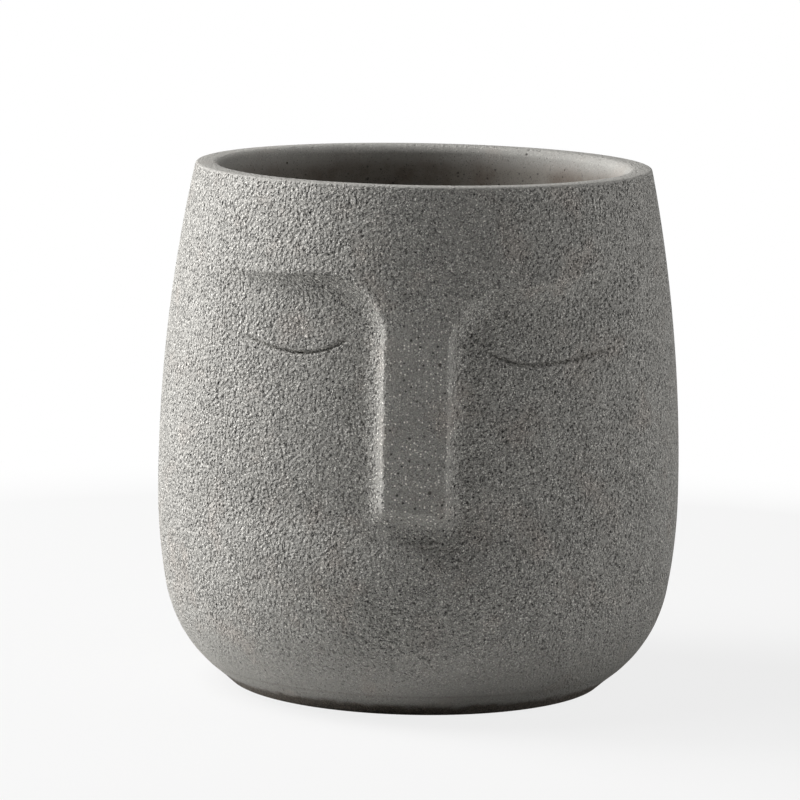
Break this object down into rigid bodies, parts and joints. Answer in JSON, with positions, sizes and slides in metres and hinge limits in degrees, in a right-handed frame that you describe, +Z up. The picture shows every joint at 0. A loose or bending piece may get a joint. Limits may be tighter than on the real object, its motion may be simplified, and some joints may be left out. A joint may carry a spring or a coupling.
{
  "type": "head planter",
  "caption": "Cast cement plant pot with a bulging body, a plain closed-eyed face in relief on its front, a drain hole with a pull-out plug, a mesh screen and foot pads.",
  "frame": {"origin": "centre of the foot pads' undersides, on the surface that the pot stands on", "axes": "+Z up through the mouth; the face looks along -Y; +X is to the right of someone who looks at the face"},
  "size_m": [0.151, 0.151, 0.151],
  "materials": {
    "cement": "matte sanded grey cement, smooth on the rim and inside",
    "plug_rubber": "matte black silicone rubber",
    "screen_plastic": "matte black moulded plastic",
    "pad_rubber": "matte grey rubber"
  },
  "bodies": {
    "pot": {"pot_body": "cement", "foot_pad_1": "pad_rubber", "foot_pad_2": "pad_rubber", "foot_pad_3": "pad_rubber", "foot_pad_4": "pad_rubber"},
    "plug": {"drain_plug": "plug_rubber"},
    "screen": {"drain_screen": "screen_plastic"}
  },
  "joints": [
    {"name": "plug_pull", "type": "slide", "parent": "pot", "child": "plug", "axis": [0, 0, -1], "range_m": [0, 0.02]},
    {"name": "screen_lift", "type": "slide", "parent": "pot", "child": "screen", "axis": [0, 0, 1], "range_m": [0, 0.15]}
  ]
}
